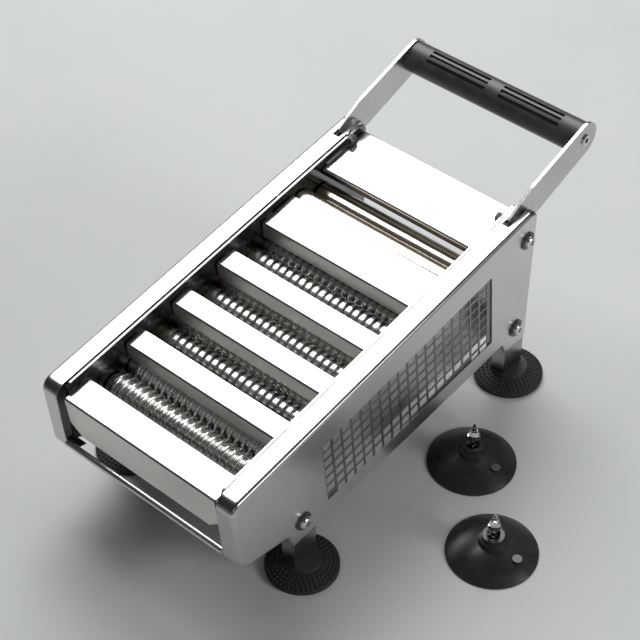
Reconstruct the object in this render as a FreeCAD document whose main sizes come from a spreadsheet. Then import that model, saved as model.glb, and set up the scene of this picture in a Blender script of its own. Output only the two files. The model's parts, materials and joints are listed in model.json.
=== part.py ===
import FreeCAD, Part
import math
import os
import Sketcher
from FreeCAD import Vector

# Driving sizes: name, value in mm, degrees or a count, and what it is
DIMENSIONS = [
    ("body_width", 200, "across the outside of the side covers"),
    ("body_rear", 153.7, "rear face of the side covers, behind the origin"),
    ("deck_height", 187.2, "deck plane above the floor at the rear face"),
    ("deck_slope", 6.36, "fall of the deck towards the front, degrees"),
    ("deck_length", 376.9, "side cover top edge along the slope"),
    ("front_lean", 4.3, "lean of the front edge, degrees"),
    ("toe_height", 68.6, "front lower corner of the side cover above the floor"),
    ("skirt_front", 56, "side cover edge ahead of the front leg"),
    ("skirt_rear", 51, "side cover edge ahead of the rear leg"),
    ("tab_height", 38.5, "bottom of the tabs over the legs"),
    ("tab_margin", 3, "tab width beyond the leg"),
    ("notch_run", 6, "run of the curve from tab to skirt"),
    ("sheet", 1.2, "sheet thickness of covers"),
    ("bend", 3.5, "outside bend radius of the side covers"),
    ("corner", 10, "top corner radius of the side covers"),
    ("toe_corner", 18, "front lower corner radius"),
    ("flange", 16.5, "width of the turned-in edge of the side covers"),
    ("band_end", 85, "height where the rear turned-in edge stops"),
    ("window_front", 279, "grille window front edge from the rear corner"),
    ("window_rear", 64.8, "grille window rear edge from the rear corner"),
    ("window_top", 27.8, "grille window top below the deck plane"),
    ("window_low_front", 97.1, "grille window bottom below the deck, front"),
    ("window_low_rear", 110, "grille window bottom below the deck, rear"),
    ("mesh_run", 11.6, "grille pitch along the deck"),
    ("mesh_rise", 10.8, "grille pitch across the deck"),
    ("mesh_wire", 1.9, "width of the grille strips"),
    ("mesh_border", 6, "grille border behind the wall"),
    ("mesh_sheet", 0.8, "grille thickness"),
    ("plate", 2, "inner plate thickness"),
    ("side_room", 20, "side cover outside to the inside of the inner plate"),
    ("plate_drop", 1, "inner plate edge below the deck plane"),
    ("plate_rear", 3.7, "inner plates ahead of the rear face"),
    ("plate_front", 211, "front edge of the inner plates ahead of the origin"),
    ("plate_bottom", 54, "bottom edge of the inner plates"),
    ("plate_heel", 160, "front end of the plate bottom edge"),
    ("plate_nose", 86, "lower end of the plate front edge"),
    ("cover_play", 1.6, "deck cover and roller ends to the inner plates"),
    ("cover_bend", 2, "outside bend radius of the deck covers"),
    ("cover_drop", 9, "deck covers below the deck plane"),
    ("cover_lip", 3, "turned-down rear lip of the covers"),
    ("apron", 17, "turned-down front of the cutter covers"),
    ("front_apron", 40, "turned-down front of the front cover"),
    ("front_chamfer", 11, "cut corner of the front apron"),
    ("rear_lip", 2.4, "turned-down front of the rear cover"),
    ("rear_apron", 40, "turned-down back of the rear cover"),
    ("rear_inset", 6.6, "rear cover ahead of the rear corner"),
    ("rear_cover", 57, "rear cover length"),
    ("sheet_gap", 38, "opening over the smooth rollers"),
    ("feed_cover", 40.7, "feed cover length"),
    ("entry_gap", 35.6, "opening over the third cutter"),
    ("cutter_cover", 20.6, "cutter cover length"),
    ("cutter_gap", 32.5, "opening over the first and second cutters"),
    ("front_gap", 41.6, "opening over the front cutter"),
    ("front_cover", 27.3, "front cover length"),
    ("bar_run", 6, "cross bar thickness"),
    ("bar_rise", 8, "cross bar height"),
    ("guard_rod", 2.8, "radius of the front guard rod"),
    ("guard_height", 82, "front guard rod above the floor"),
    ("tie_rod", 5, "radius of the lower tie rods"),
    ("tie_reach", 105, "lower tie rods ahead of and behind the origin"),
    ("tie_height", 66, "lower tie rods above the floor"),
    ("cutter_pitch", 22, "flat cutter axis distance"),
    ("cutter_radius", 12.5, "flat cutter ring radius"),
    ("cutter_root", 9.1, "flat cutter groove radius"),
    ("cutter_tilt", 0, "fall from front to rear flat cutter against the deck, degrees"),
    ("cutter_set", 18.7, "flat cutter axis behind the cover edge"),
    ("cutter_depth", 40, "flat cutter axis below the deck plane"),
    ("ring_margin", 2, "plain ends of the cutters"),
    ("ring_pitch", 7.1, "flat cutter ring pitch"),
    ("ring_width", 3.3, "flat cutter ring width"),
    ("round_pitch", 26, "round cutter axis distance"),
    ("round_radius", 12.6, "round cutter mean radius"),
    ("round_wave", 1.7, "half height of the round cutter beads"),
    ("round_tilt", 0, "fall from front to rear round cutter against the deck, degrees"),
    ("round_set", 22, "round cutter axis behind the cover edge"),
    ("round_depth", 41, "round cutter axis below the deck plane"),
    ("bead_pitch", 7.1, "round cutter bead pitch"),
    ("smooth_pitch", 30, "smooth roller axis distance"),
    ("smooth_radius", 14.5, "smooth roller radius"),
    ("smooth_tilt", 27, "fall from front to rear smooth roller against the deck, degrees"),
    ("smooth_set", 6.1, "smooth roller axis behind the cover edge"),
    ("smooth_depth", 26.5, "smooth roller axis below the deck plane"),
    ("journal", 6, "journal radius"),
    ("journal_left", 0.6, "end of the driven journals inside the cover face"),
    ("journal_end", 1, "journals beyond the gears"),
    ("journal_right", 4, "right end of the journals beyond the plate"),
    ("socket", 4, "crank socket radius"),
    ("socket_depth", 12, "crank socket depth"),
    ("blade_width", 2.5, "crank blade slot width"),
    ("blade_depth", 5, "crank blade slot depth"),
    ("crank_hole", 7.5, "crank hole radius in the left side cover"),
    ("bush_fit", 0.05, "radial clearance of journals and pivots"),
    ("bush_radius", 8, "bush outside radius"),
    ("bush_flange", 9.5, "bush flange radius"),
    ("bush_flange_run", 1, "bush flange thickness"),
    ("bush_out", 1.5, "bush beyond the outside of the plate"),
    ("seat_fit", 0.02, "radial clearance of fixed seats"),
    ("gear_room", 2.5, "gears outside the inner plate"),
    ("gear_width", 7.5, "gear face width"),
    ("gear_module", 1, "gear module"),
    ("gear_backlash", 0.07, "half of the tooth thinning"),
    ("comb_sheet", 1.2, "comb thickness"),
    ("comb_reach", 20, "outer edge of the combs from the roller axis"),
    ("comb_play", 0.7, "comb clearance to the roller"),
    ("comb_finger", 2.4, "comb finger width in the flat cutters"),
    ("comb_pin", 1.2, "comb finger width in the round cutters"),
    ("leg_spacing", 278.5, "between front and rear leg centres"),
    ("leg_width", 26, "leg width"),
    ("leg_sheet", 2, "leg thickness"),
    ("leg_return", 13, "turned-in front of the legs"),
    ("leg_top", 82, "top of the legs above the floor"),
    ("leg_bottom", 5, "bottom of the legs above the floor"),
    ("foot_radius", 30.5, "rubber foot radius"),
    ("foot_rim", 4, "rubber foot rim height"),
    ("foot_dome", 9, "rubber foot height under the boss"),
    ("foot_boss", 17, "rubber foot boss radius"),
    ("foot_height", 12, "rubber foot height"),
    ("foot_inset", 4.5, "foot centres inside the side cover faces"),
    ("bolt_height", 62.4, "leg bolts above the floor"),
    ("bolt_shift", -3.5, "leg bolts behind the leg centres"),
    ("bolt", 2.5, "side bolt radius"),
    ("bolt_hole", 2.6, "side bolt hole radius"),
    ("bolt_head", 6, "side bolt head radius"),
    ("bolt_head_rise", 4, "side bolt head height"),
    ("washer", 8.2, "washer radius"),
    ("washer_sheet", 1.2, "washer thickness"),
    ("nut_span", 8, "nut across flats"),
    ("nut_rise", 4, "nut height"),
    ("bolt_tail", 0.8, "bolt end beyond the nut"),
    ("spacer", 5, "spacer and pivot sleeve radius"),
    ("sleeve_shoulder", 8, "pivot sleeve shoulder radius"),
    ("pivot_inset", 13.7, "handle pivot ahead of the rear face"),
    ("pivot_drop", 27.2, "handle pivot below the rear corner"),
    ("arm_room", 6.75, "handle arms outside the inner plates"),
    ("arm_sheet", 2.5, "handle arm thickness"),
    ("arm_play", 0.3, "side play of the handle arms"),
    ("grip_run", 88, "grip axis behind the pivot"),
    ("grip_rise", 47, "grip axis above the pivot"),
    ("arm_end", 16, "handle arm end radius"),
    ("arm_top_lean", 15.7, "upper edge of the arm above level, degrees"),
    ("arm_low_lean", 17.4, "lower edge of the arm above level, degrees"),
    ("arm_kink", 14, "upper edge kink behind the pivot"),
    ("arm_neck_lean", 26.6, "upper edge below the kink, degrees"),
    ("arm_front", 16, "front of the arm ahead of the pivot"),
    ("arm_boss", 12, "arm radius round the pivot"),
    ("arm_rim", 2.6, "arm edge outside the stop slot"),
    ("stop_run", 11, "stop bolt ahead of the pivot"),
    ("stop_rise", 20.5, "stop bolt above the pivot"),
    ("stop_play", 0.4, "stop slot clearance"),
    ("fold_angle", 90, "handle travel, degrees"),
    ("slot_inner", 2.75, "handle slot inside the arm"),
    ("slot_outer", 1.75, "handle slot outside the arm"),
    ("slot_run", 33.3, "handle slot ahead of the rear face"),
    ("slot_drop", 71.2, "handle slot below the rear corner"),
    ("grip_radius", 14.25, "grip radius"),
    ("groove_run", 62, "grip groove length"),
    ("groove_gap", 14, "between the groove groups"),
    ("groove_width", 3, "grip groove width"),
    ("groove_depth", 2.2, "grip groove depth"),
    ("groove_lean", 22, "middle groove ahead of the top, degrees"),
    ("groove_step", 21, "between grooves, degrees"),
    ("rod", 3, "grip rod radius"),
    ("rod_head", 5, "grip rod head radius"),
    ("rod_head_run", 1.5, "grip rod head thickness"),
    ("rod_bore", 2.3, "grip rod end bore radius"),
    ("rod_bore_run", 8, "grip rod end bore depth"),
    ("cup_radius", 38, "suction cup radius"),
    ("cup_rise", 13, "suction cup dome height"),
    ("cup_neck", 12, "suction cup neck radius"),
    ("cup_height", 22, "suction cup height"),
    ("cup_hollow", 3.5, "suction cup hollow depth"),
    ("cup_nub", 4, "suction cup pull nub radius"),
    ("plug_stem", 2.6, "plug stem radius"),
    ("plug_head", 5.4, "plug head radius"),
    ("plug_height", 46, "plug top above the floor"),
    ("cup_one_x", 33, "first loose cup to the right of the side cover"),
    ("cup_one_y", 36, "first loose cup behind the origin"),
    ("cup_two_x", 103, "second loose cup to the right of the side cover"),
    ("cup_two_y", -30, "second loose cup behind the origin"),
]

doc = FreeCAD.newDocument("pasta_roller")
sizes = doc.addObject("Spreadsheet::Sheet", "dims")
for row, (alias, value, meaning) in enumerate(DIMENSIONS, 1):
    sizes.set(f"A{row}", meaning)
    sizes.set(f"B{row}", str(value))
    sizes.setAlias(f"B{row}", alias)
doc.recompute()

nodes = {}
SIDES = {"left": -1, "right": 1}
DECK = "placement(vector(0; dims.body_rear; dims.deck_height); rotation(vector(1; 0; 0); dims.deck_slope))"
ALONG_X = "rotation(vector(0; 1; 0); 90)"
LEVEL = "rotation(vector(1; 0; 0); 0)"

# Half widths from mid-plane outwards, as sheet expressions
PLATE_IN = "(dims.body_width / 2 - dims.side_room)"
PLATE_OUT = f"({PLATE_IN} + dims.plate)"
COVER_HALF = f"({PLATE_IN} - dims.cover_play)"
GEAR_IN = f"({PLATE_OUT} + dims.gear_room)"
ARM_IN = f"({PLATE_OUT} + dims.arm_room)"
ARM_OUT = f"({ARM_IN} + dims.arm_sheet)"
JOURNAL_LEFT = "(dims.body_width / 2 - dims.journal_left)"
JOURNAL_SHORT = f"({GEAR_IN} + dims.gear_width + dims.journal_end)"
JOURNAL_RIGHT = f"({PLATE_OUT} + dims.journal_right)"
RING_COUNT = f"floor(2 * ({COVER_HALF} - dims.ring_margin) / dims.ring_pitch)"
BEAD_COUNT = f"floor(2 * ({COVER_HALF} - dims.ring_margin) / dims.bead_pitch)"
PIVOT_Y = "(dims.body_rear - dims.pivot_inset)"
PIVOT_Z = "(dims.deck_height - dims.pivot_drop)"


# Shared readings of the sheet
def size(expression):
    return float(sizes.evalExpression(expression))


def dim(alias):
    return float(sizes.get(alias))


def wall_inner():
    return dim("body_width") / 2 - dim("sheet")


def plate_inner():
    return size(PLATE_IN)


def plate_outer():
    return size(PLATE_OUT)


def deck_point(along, above):
    slope = math.radians(dim("deck_slope"))
    y = dim("body_rear") + along * math.cos(slope) - above * math.sin(slope)
    z = dim("deck_height") + along * math.sin(slope) + above * math.cos(slope)
    return y, z


# Shared ways of making solids
def node(label, feature):
    feature.Label = label
    nodes[label] = feature
    return feature


def shape_node(label, shape):
    feature = doc.addObject("Part::Feature", label)
    feature.Shape = shape
    return node(label, feature)


def primitive(kind, name, placement, **bound):
    feature = doc.addObject(kind, name)
    for prop, expression in bound.items():
        feature.setExpression(prop, expression)
    feature.setExpression("Placement", placement)
    return feature


def at(x, y, z, turn=LEVEL):
    return f"placement(vector({x}; {y}; {z}); {turn})"


def joined(label, kind, parts):
    feature = doc.addObject(kind, label)
    if kind == "Part::Compound":
        feature.Links = parts
    else:
        feature.Shapes = parts
    return node(label, feature)


def cut(label, base, tool):
    feature = doc.addObject("Part::Cut", label)
    feature.Base = base
    feature.Tool = tool
    return node(label, feature)


def rounded_face(corners, x):
    """Face at x from (y, z, radius) corners, each rounded with its radius."""
    edges = []
    ends = []
    count = len(corners)
    for index, (y, z, radius) in enumerate(corners):
        here = Vector(x, y, z)
        back = Vector(x, *corners[index - 1][:2]) - here
        ahead = Vector(x, *corners[(index + 1) % count][:2]) - here
        back.normalize()
        ahead.normalize()
        half = back.getAngle(ahead) / 2
        reach = radius / math.tan(half)
        middle = back + ahead
        middle.normalize()
        inner = here + middle * (radius / math.sin(half) - radius)
        ends.append((here + back * reach, inner, here + ahead * reach, radius))
    for index, (start, inner, stop, radius) in enumerate(ends):
        if radius > 0:
            edges.append(Part.Arc(start, inner, stop).toShape())
        following = ends[(index + 1) % count][0]
        if (following - stop).Length > 1e-6:
            edges.append(Part.LineSegment(stop, following).toShape())
    return Part.Face(Part.Wire(edges))


def polygon_face(points):
    wire = Part.makePolygon([Vector(*point) for point in points + points[:1]])
    return Part.Face(wire)


def rod_x(radius, start, end, y, z):
    return Part.makeCylinder(radius, abs(end - start), Vector(min(start, end), y, z), Vector(1, 0, 0))


def box_between(low, high):
    span = [b - a for a, b in zip(low, high)]
    return Part.makeBox(*span, Vector(*low))


def mirrored(shape, side):
    if side > 0:
        return shape
    return shape.mirror(Vector(0, 0, 0), Vector(1, 0, 0))


def turned_profile(points):
    """Solid of revolution about Z from (radius, height) points."""
    face = polygon_face([(radius, 0, height) for radius, height in points])
    return face.revolve(Vector(0, 0, 0), Vector(0, 0, 1), 360)


def outline_sketch(body, plane_role, points):
    """Closed sketch through points given as pairs of sheet expressions."""
    sketch = body.newObject("Sketcher::SketchObject", "outline")
    plane = next(item for item in body.Origin.OriginFeatures if item.Role == plane_role)
    sketch.AttachmentSupport = [(plane, "")]
    sketch.MapMode = "FlatFace"
    values = [(size(u), size(v)) for u, v in points]
    count = len(values)
    for index in range(count):
        start = Vector(*values[index], 0)
        end = Vector(*values[(index + 1) % count], 0)
        sketch.addGeometry(Part.LineSegment(start, end), False)
    for index in range(count):
        sketch.addConstraint(Sketcher.Constraint("Coincident", index, 2, (index + 1) % count, 1))
    for index, pair in enumerate(points):
        for axis, expression in zip("XY", pair):
            value = values[index]["XY".index(axis)]
            key = sketch.addConstraint(Sketcher.Constraint("Distance" + axis, -1, 1, index, 1, value))
            sketch.setExpression(f"Constraints[{key}]", expression)
    return sketch


# Deck layout: distances along the slope from the rear corner, as sheet expressions
REAR_EDGE = "(-dims.rear_inset)"
REAR_FRONT = f"({REAR_EDGE} - dims.rear_cover)"
FEED_EDGE = f"({REAR_FRONT} - dims.sheet_gap)"
FEED_FRONT = f"({FEED_EDGE} - dims.feed_cover)"
THIRD_EDGE = f"({FEED_FRONT} - dims.entry_gap)"
THIRD_FRONT = f"({THIRD_EDGE} - dims.cutter_cover)"
SECOND_EDGE = f"({THIRD_FRONT} - dims.cutter_gap)"
SECOND_FRONT = f"({SECOND_EDGE} - dims.cutter_cover)"
FIRST_EDGE = f"({SECOND_FRONT} - dims.cutter_gap)"
FIRST_FRONT = f"({FIRST_EDGE} - dims.cutter_cover)"
NOSE_EDGE = f"({FIRST_FRONT} - dims.front_gap)"
NOSE_FRONT = f"({NOSE_EDGE} - dims.front_cover)"

# Roller pairs: name, kind and the cover edge ahead of the opening
PAIRS = [
    ("round_cutter", "round", NOSE_EDGE),
    ("flat_cutter_1", "cutter", FIRST_EDGE),
    ("flat_cutter_2", "cutter", SECOND_EDGE),
    ("flat_cutter_3", "cutter", THIRD_EDGE),
    ("smooth_roller", "smooth", FEED_EDGE),
]


def axis_expressions(kind, edge, place):
    along = f"({edge} + dims.{kind}_set)"
    above = f"(-dims.{kind}_depth)"
    if place == "rear":
        along = f"({along} + dims.{kind}_pitch * cos(dims.{kind}_tilt * 1 deg))"
        above = f"({above} - dims.{kind}_pitch * sin(dims.{kind}_tilt * 1 deg))"
    return along, above


def roller_axes():
    for name, kind, edge in PAIRS:
        for place in ("front", "rear"):
            along, above = axis_expressions(kind, edge, place)
            yield f"{name}_{place}", kind, place, along, above


def axis_point(along, above):
    return deck_point(size(along), size(above))


# Where the side fasteners are
def leg_centres():
    return {"front": -dim("leg_spacing") / 2, "rear": dim("leg_spacing") / 2}


def leg_bolt_points():
    return [(centre + dim("bolt_shift"), dim("bolt_height")) for centre in leg_centres().values()]


def pivot_point():
    return size(PIVOT_Y), size(PIVOT_Z)


def stop_point():
    return size(PIVOT_Y) - dim("stop_run"), size(PIVOT_Z) + dim("stop_rise")


# Side covers
def wall_corners(inset):
    slope = math.radians(dim("deck_slope"))
    lean = math.tan(math.radians(dim("front_lean")))
    top_y, top_z = deck_point(-dim("deck_length"), 0)
    toe_y = top_y + (top_z - dim("toe_height")) * lean
    reach = dim("leg_width") / 2 + dim("tab_margin")
    front_tab = leg_centres()["front"] - reach
    rear_tab = leg_centres()["rear"] - reach
    run = dim("notch_run")
    rear = dim("body_rear") - inset
    low = dim("tab_height")
    rear_top = dim("deck_height") - inset / math.cos(slope) - inset * math.tan(slope)
    front_y = top_y + inset
    front_top = top_z - inset / math.cos(slope) + inset * math.tan(slope)
    return [
        (rear, rear_top, dim("corner") - inset),
        (rear, low, 2),
        (rear_tab, low, 4),
        (rear_tab - run, dim("skirt_rear"), 3),
        (front_tab, low, 4),
        (front_tab - run, dim("skirt_front"), 6),
        (toe_y + inset, dim("toe_height") + inset, dim("toe_corner") - inset),
        (front_y, front_top, dim("corner") - inset),
    ]


def rolled_edges(solid, x):
    limit = dim("toe_height") - 2
    chosen = []
    for edge in solid.Edges:
        flat = all(abs(vertex.X - x) < 1e-6 for vertex in edge.Vertexes)
        if flat and edge.CenterOfMass.z > limit:
            chosen.append(edge)
    return chosen


def rolled_block(inset, x, radius):
    inner = dim("body_width") / 2 - dim("flange")
    face = rounded_face(wall_corners(inset), inner - inset)
    block = face.extrude(Vector(x - inner + inset, 0, 0))
    return block.makeFillet(radius, rolled_edges(block, x))


def window_face(x, margin):
    front = -dim("window_front") - margin
    rear = -dim("window_rear") + margin
    top = -dim("window_top") + margin
    low_front = -dim("window_low_front") - margin
    low_rear = -dim("window_low_rear") - margin
    corners = [(front, top), (rear, top), (rear, low_rear), (front, low_front)]
    return rounded_face([(*deck_point(*corner), 2) for corner in corners], x)


def side_cover(side):
    half = dim("body_width") / 2
    inner = half - dim("flange")
    sheet = dim("sheet")
    cover = rolled_block(0, half, dim("bend"))
    hollow = rolled_block(sheet, half - sheet, dim("bend") - sheet)
    rear_of_toe = deck_point(-dim("deck_length"), 0)[0] + dim("toe_corner") + 6
    under = box_between((inner - 1, rear_of_toe, 0), (half - sheet, dim("body_rear") + 5, dim("band_end")))
    slot_front = dim("body_rear") - dim("slot_run")
    slot = box_between((size(ARM_IN) - dim("slot_inner"), slot_front, dim("deck_height") - dim("slot_drop")),
                       (size(ARM_OUT) + dim("slot_outer"), dim("body_rear") + 5, dim("deck_height") + 5))
    cover = cover.cut(hollow).cut(under).cut(slot)
    for y, z in leg_bolt_points() + [pivot_point()]:
        cover = cover.cut(rod_x(dim("bolt_hole"), half - 10, half + 5, y, z))
    if side > 0:
        return cover.cut(window_face(half - 10, 0).extrude(Vector(20, 0, 0)))
    for name, kind, place, along, above in roller_axes():
        if place == "front":
            y, z = axis_point(along, above)
            cover = cover.cut(rod_x(dim("crank_hole"), half - 10, half + 5, y, z))
    return mirrored(cover, side)


def grille():
    """Holed panel behind the window of the right side cover."""
    back = wall_inner() - dim("mesh_sheet")
    panel = window_face(back, dim("mesh_border"))
    run = dim("mesh_run")
    rise = dim("mesh_rise")
    columns = int((dim("window_front") - dim("window_rear")) / run)
    start = -dim("window_front") + dim("mesh_wire")
    holes = []
    for column in range(columns):
        along = start + column * run
        share = (along + dim("window_front")) / (dim("window_front") - dim("window_rear"))
        low = dim("window_low_front") + share * (dim("window_low_rear") - dim("window_low_front"))
        top = dim("window_top") + dim("mesh_wire") / 2
        while top + dim("mesh_wire") * 2 < low:
            bottom = min(top + rise - dim("mesh_wire"), low + dim("mesh_wire"))
            right = along + run - dim("mesh_wire")
            corners = [(along, -top), (right, -top), (right, -bottom), (along, -bottom)]
            holes.append(polygon_face([(back, *deck_point(*corner)) for corner in corners]).OuterWire)
            top += rise
    face = Part.Face([panel.OuterWire] + holes)
    face.validate()
    return face.extrude(Vector(dim("mesh_sheet"), 0, 0))


for name, side in SIDES.items():
    shape_node(f"{name}_side_cover", side_cover(side))
shape_node("right_grille", grille())


# Inner plates with their bearing and bolt holes
def inner_plate(side):
    inner = plate_inner()
    rear = dim("body_rear") - dim("plate_rear")
    fall = math.tan(math.radians(dim("deck_slope")))
    drop = dim("plate_drop")

    def edge(y):
        return dim("deck_height") - drop + (y - dim("body_rear")) * fall

    corners = [
        (rear, edge(rear), 8),
        (rear, dim("plate_bottom"), 6),
        (-dim("plate_heel"), dim("plate_bottom"), 6),
        (-dim("plate_front"), dim("plate_nose"), 6),
        (-dim("plate_front"), edge(-dim("plate_front")), 5),
    ]
    blank = rounded_face(corners, inner).extrude(Vector(dim("plate"), 0, 0))
    for name, kind, place, along, above in roller_axes():
        hole = dim("bush_radius") + dim("seat_fit")
        blank = blank.cut(rod_x(hole, inner - 5, inner + 9, *axis_point(along, above)))
    for y, z in leg_bolt_points() + [pivot_point(), stop_point()]:
        blank = blank.cut(rod_x(dim("bolt_hole"), inner - 5, inner + 9, y, z))
    return mirrored(blank, side)


for name, side in SIDES.items():
    shape_node(f"{name}_inner_plate", inner_plate(side))


# Deck covers folded from sheet
def folded_cover(label, front, rear, front_depth, rear_depth):
    body = doc.addObject("PartDesign::Body", label)
    top = "(-dims.cover_drop)"
    under = f"({top} - dims.sheet)"
    points = [
        (front, top),
        (rear, top),
        (rear, f"{top} - {rear_depth}"),
        (f"{rear} - dims.sheet", f"{top} - {rear_depth}"),
        (f"{rear} - dims.sheet", under),
        (f"{front} + dims.sheet", under),
        (f"{front} + dims.sheet", f"{top} - {front_depth}"),
        (front, f"{top} - {front_depth}"),
    ]
    pad = body.newObject("PartDesign::Pad", "fold")
    pad.Profile = outline_sketch(body, "YZ_Plane", points)
    pad.Midplane = True
    pad.setExpression("Length", f"2 * {COVER_HALF}")
    body.setExpression("Placement", DECK)
    doc.recompute()
    return node(label, body)


def edge_names(shape, test):
    return [f"Edge{index}" for index, edge in enumerate(shape.Edges, 1) if test(edge)]


def dress(body, kind, prop, expression, test):
    base = body.Tip
    names = edge_names(base.Shape, test)
    feature = body.newObject(kind, prop.lower())
    feature.Base = (base, names)
    feature.setExpression(prop, expression)
    doc.recompute()


def soften_bends(body, front, rear):
    top = -dim("cover_drop")
    ends = (size(front), size(rear))

    def is_bend(edge):
        centre = edge.CenterOfMass
        return abs(centre.z - top) < 1e-6 and min(abs(centre.y - end) for end in ends) < 1e-6

    dress(body, "PartDesign::Fillet", "Radius", "dims.cover_bend", is_bend)


def trim_front_corners(body):
    low = -dim("cover_drop") - dim("front_apron")

    def is_corner(edge):
        centre = edge.CenterOfMass
        return abs(centre.z - low) < 1e-6 and abs(edge.Length - dim("sheet")) < 1e-6

    dress(body, "PartDesign::Chamfer", "Size", "dims.front_chamfer", is_corner)


COVERS = [
    ("front_cover", NOSE_FRONT, NOSE_EDGE, "dims.front_apron", "dims.cover_lip"),
    ("cutter_cover_1", FIRST_FRONT, FIRST_EDGE, "dims.apron", "dims.cover_lip"),
    ("cutter_cover_2", SECOND_FRONT, SECOND_EDGE, "dims.apron", "dims.cover_lip"),
    ("cutter_cover_3", THIRD_FRONT, THIRD_EDGE, "dims.apron", "dims.cover_lip"),
    ("feed_cover", FEED_FRONT, FEED_EDGE, "dims.apron", "dims.cover_lip"),
    ("rear_cover", REAR_FRONT, REAR_EDGE, "dims.rear_lip", "dims.rear_apron"),
]
for label, front, rear, front_depth, rear_depth in COVERS:
    cover = folded_cover(label, front, rear, front_depth, rear_depth)
    if label == "front_cover":
        trim_front_corners(cover)
    soften_bends(cover, front, rear)


# Cross bars that carry the covers between the inner plates
def cross_bar(index, along):
    place = at(f"-{PLATE_IN}", along, "-dims.cover_drop - dims.sheet - dims.bar_rise")
    return primitive("Part::Box", f"bar_{index}", f"{DECK} * {place}",
                     Length=f"2 * {PLATE_IN}", Width="dims.bar_run", Height="dims.bar_rise")


bar_places = [f"{front} + dims.sheet" for label, front, rear, deep, back in COVERS]
bar_places.append(f"{FEED_FRONT} + dims.feed_cover / 2")
bar_places.append(f"{REAR_EDGE} - dims.sheet - dims.bar_run")
joined("cross_bars", "Part::Compound", [cross_bar(i, along) for i, along in enumerate(bar_places)])


# Guard rod in front and tie rods below
def front_guard_rod():
    lean = "tan(dims.front_lean * 1 deg)"
    slope = "dims.deck_slope * 1 deg"
    top_y = f"(dims.body_rear - dims.deck_length * cos({slope}))"
    top_z = f"(dims.deck_height - dims.deck_length * sin({slope}))"
    y = f"{top_y} + ({top_z} - dims.guard_height) * {lean} + dims.sheet / 2"
    half = "(dims.body_width / 2 - dims.flange)"
    rod = primitive("Part::Cylinder", "front_guard_rod", at(f"-{half}", y, "dims.guard_height", ALONG_X),
                    Radius="dims.guard_rod", Height=f"2 * {half}")
    return node("front_guard_rod", rod)


def lower_tie_rod(place, sign):
    spot = at(f"-{PLATE_IN}", f"{sign} * dims.tie_reach", "dims.tie_height", ALONG_X)
    return primitive("Part::Cylinder", f"tie_{place}", spot,
                     Radius="dims.tie_rod", Height=f"2 * {PLATE_IN}")


front_guard_rod()
tie_rods = [lower_tie_rod(place, sign) for place, sign in (("front", -1), ("rear", 1))]
joined("lower_tie_rods", "Part::Compound", tie_rods)


# Rollers: journals, body, grooves and crank sockets
def roller_points(kind, driven, radius, half_length):
    end = COVER_HALF
    left = JOURNAL_LEFT if driven else JOURNAL_SHORT
    core = "dims.cutter_root" if kind == "cutter" else radius
    points = [(f"-{left}", "dims.journal"), (f"-{end}", "dims.journal"), (f"-{end}", core)]
    if kind == "cutter":
        points += [(f"-{half_length}", core), (f"-{half_length}", radius)]
        points += [(half_length, radius), (half_length, core)]
    points += [(end, core), (end, "dims.journal")]
    points += [(JOURNAL_RIGHT, "dims.journal"), (JOURNAL_RIGHT, "0")]
    if driven:
        bottom = f"-{left} + dims.socket_depth"
        points += [(bottom, "0"), (bottom, "dims.socket"), (f"-{left}", "dims.socket")]
    else:
        points.append((f"-{left}", "0"))
    return points


def cut_grooves(body, count, half_length):
    first = f"-{half_length} + dims.ring_width"
    second = f"{first} + dims.ring_pitch - dims.ring_width"
    high = "dims.cutter_radius + 1"
    points = [(first, "dims.cutter_root"), (second, "dims.cutter_root"), (second, high), (first, high)]
    sketch = outline_sketch(body, "XY_Plane", points)
    groove = body.newObject("PartDesign::Groove", "groove")
    groove.Profile = sketch
    groove.ReferenceAxis = (sketch, ["H_Axis"])
    groove.Angle = 360
    pattern = body.newObject("PartDesign::LinearPattern", "grooves")
    pattern.Originals = [groove]
    pattern.Direction = (sketch, ["H_Axis"])
    pattern.setExpression("Length", f"({count} - 2) * dims.ring_pitch")
    pattern.setExpression("Occurrences", f"{count} - 1")
    body.Tip = pattern


def turned_roller(name, kind, driven, along, above):
    body = doc.addObject("PartDesign::Body", f"{name}_body" if driven else name)
    count = RING_COUNT if driven else f"({RING_COUNT} - 1)"
    half_length = f"(({count} - 1) * dims.ring_pitch / 2 + dims.ring_width / 2)"
    points = roller_points(kind, driven, f"dims.{kind}_radius", half_length)
    sketch = outline_sketch(body, "XY_Plane", points)
    turn = body.newObject("PartDesign::Revolution", "turn")
    turn.Profile = sketch
    turn.ReferenceAxis = (sketch, ["H_Axis"])
    turn.Angle = 360
    if kind == "cutter":
        cut_grooves(body, count, half_length)
    body.setExpression("Placement", f"{DECK} * {at('0', along, above)}")
    doc.recompute()
    if not driven:
        return node(name, body)
    return cut(name, body, blade_slot(name, along, above))


def blade_slot(name, along, above):
    start = f"-{JOURNAL_LEFT} + dims.socket_depth - 1"
    place = at(start, f"{along} - dims.blade_width / 2", f"{above} - dims.socket * 0.9")
    return primitive("Part::Box", f"{name}_slot", f"{DECK} * {place}",
                     Length="dims.blade_depth + 1", Width="dims.blade_width", Height="dims.socket * 1.8")


def bead_edges(count):
    """Wavy outline of the round cutter as arcs, starting and ending in a valley."""
    step = dim("bead_pitch") / 4
    start = -count * dim("bead_pitch") / 2

    def wave(quarter):
        x = start + quarter * step
        return Vector(x, dim("round_radius") - dim("round_wave") * math.cos(quarter * math.pi / 2), 0)

    edges = [Part.Arc(wave(0), wave(0.5), wave(1)).toShape()]
    for index in range(1, 4 * count - 1, 2):
        edges.append(Part.Arc(wave(index), wave(index + 1), wave(index + 2)).toShape())
    last = 4 * count
    edges.append(Part.Arc(wave(last - 1), wave(last - 0.5), wave(last)).toShape())
    return edges


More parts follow.
